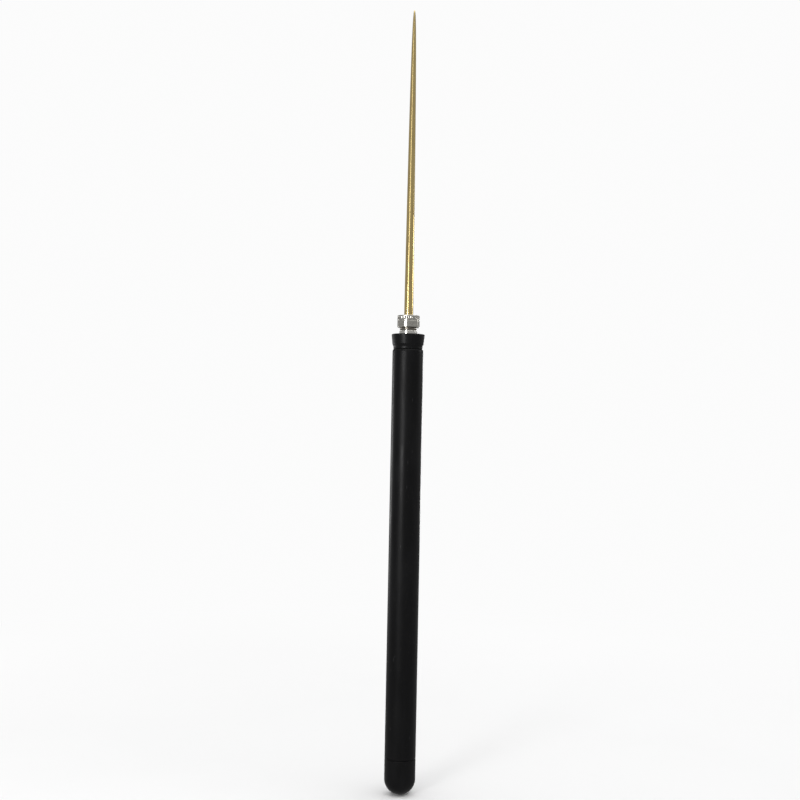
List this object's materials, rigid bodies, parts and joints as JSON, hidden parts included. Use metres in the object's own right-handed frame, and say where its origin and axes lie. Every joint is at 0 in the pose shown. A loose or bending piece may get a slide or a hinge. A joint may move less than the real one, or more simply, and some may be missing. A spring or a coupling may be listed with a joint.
{
  "type": "grain moisture meter",
  "caption": "Slim stick meter: long tapered brass spear held by a knurled steel nut on a threaded neck, with a flared lip and a round black handle ending in a domed screw cap.",
  "frame": {"origin": "lowest point of the domed foot, on the stick's axis", "axes": "+Z along the stick from the foot to the spear's point; the board's component side faces +Y"},
  "size_m": [0.028, 0.028, 0.66],
  "materials": {
    "spear_brass": "drawn and polished, a little tarnished",
    "nut_steel": "turned, satin",
    "neck_steel": "turned, satin",
    "handle_black": "satin, fine grain",
    "insulator": "turned, waxy",
    "seal_rubber": "matt",
    "inner_brass": "turned",
    "inner_steel": "plated",
    "spring_steel": "drawn wire",
    "carrier_grey": "moulded",
    "board_green": "solder mask over copper",
    "chip_black": "moulded",
    "tinned_can": "tinned",
    "cell_sleeve": "shrunk sleeve",
    "capacitor_sleeve": "shrunk sleeve",
    "wire_red": "extruded",
    "wire_black": "extruded"
  },
  "bodies": {
    "handle": {"handle_tube": "handle_black", "front_collar": "handle_black", "collar_o_ring": "seal_rubber", "neck_fitting": "neck_steel", "collet": "insulator", "spear_bush": "insulator", "neck_washer": "inner_steel", "ground_tag": "tinned_can", "lock_nut": "inner_steel", "contact_block": "insulator", "plunger_terminal": "inner_brass", "plunger_spring": "spring_steel", "board_sled": "carrier_grey", "sensor_board": "board_green", "radio_module": "tinned_can", "microcontroller": "chip_black", "oscillator_coil": "chip_black", "trim_capacitor": "insulator", "crystal": "tinned_can", "timing_capacitor": "capacitor_sleeve", "board_screw_rear": "inner_steel", "board_screw_front": "inner_steel", "ground_lead": "wire_black", "spear_lead": "wire_red", "cell_holder": "carrier_grey", "cell_rear": "cell_sleeve", "cell_front": "cell_sleeve", "front_contact": "tinned_can", "return_strip": "spring_steel", "threaded_insert": "inner_brass"},
    "spear": {"spear": "spear_brass"},
    "nut_washer": {"slip_washer": "inner_steel"},
    "clamp_nut": {"clamp_nut": "nut_steel"},
    "contact_plunger": {"contact_plunger": "inner_brass"},
    "tail_contact": {"spring_seat": "inner_brass", "tail_spring": "spring_steel"},
    "tail_cap": {"tail_cap": "handle_black", "cap_core": "inner_brass", "tail_o_ring": "seal_rubber"}
  },
  "joints": [
    {"name": "spear_slide", "type": "slide", "parent": "handle", "child": "spear", "axis": [0, 0, 1], "range_m": [0, 0.05]},
    {"name": "nut_travel", "type": "slide", "parent": "handle", "child": "nut_washer", "axis": [0, 0, 1], "range_m": [0, 0.00501]},
    {"name": "nut_turn", "type": "hinge", "parent": "nut_washer", "child": "clamp_nut", "pos_m": [0, 0, 0.395], "axis": [0, 0, 1], "range_deg": [0, 1800]},
    {"name": "plunger_press", "type": "slide", "parent": "handle", "child": "contact_plunger", "axis": [0, 0, 1], "range_m": [-0.0015, 0], "stiffness_N_per_m": 300, "springref_m": 0.001, "deforming": ["plunger_spring"]},
    {"name": "cap_travel", "type": "slide", "parent": "handle", "child": "tail_contact", "axis": [0, 0, -1], "range_m": [0, 0.01051]},
    {"name": "cap_turn", "type": "hinge", "parent": "tail_contact", "child": "tail_cap", "pos_m": [0, 0, 0.03], "axis": [0, 0, -1], "range_deg": [0, 2520]}
  ],
  "couplings": [
    {"joint": "nut_travel", "follows": "nut_turn", "m_per_rad": 0.00015915},
    {"joint": "cap_travel", "follows": "cap_turn", "m_per_rad": 0.00023873}
  ]
}
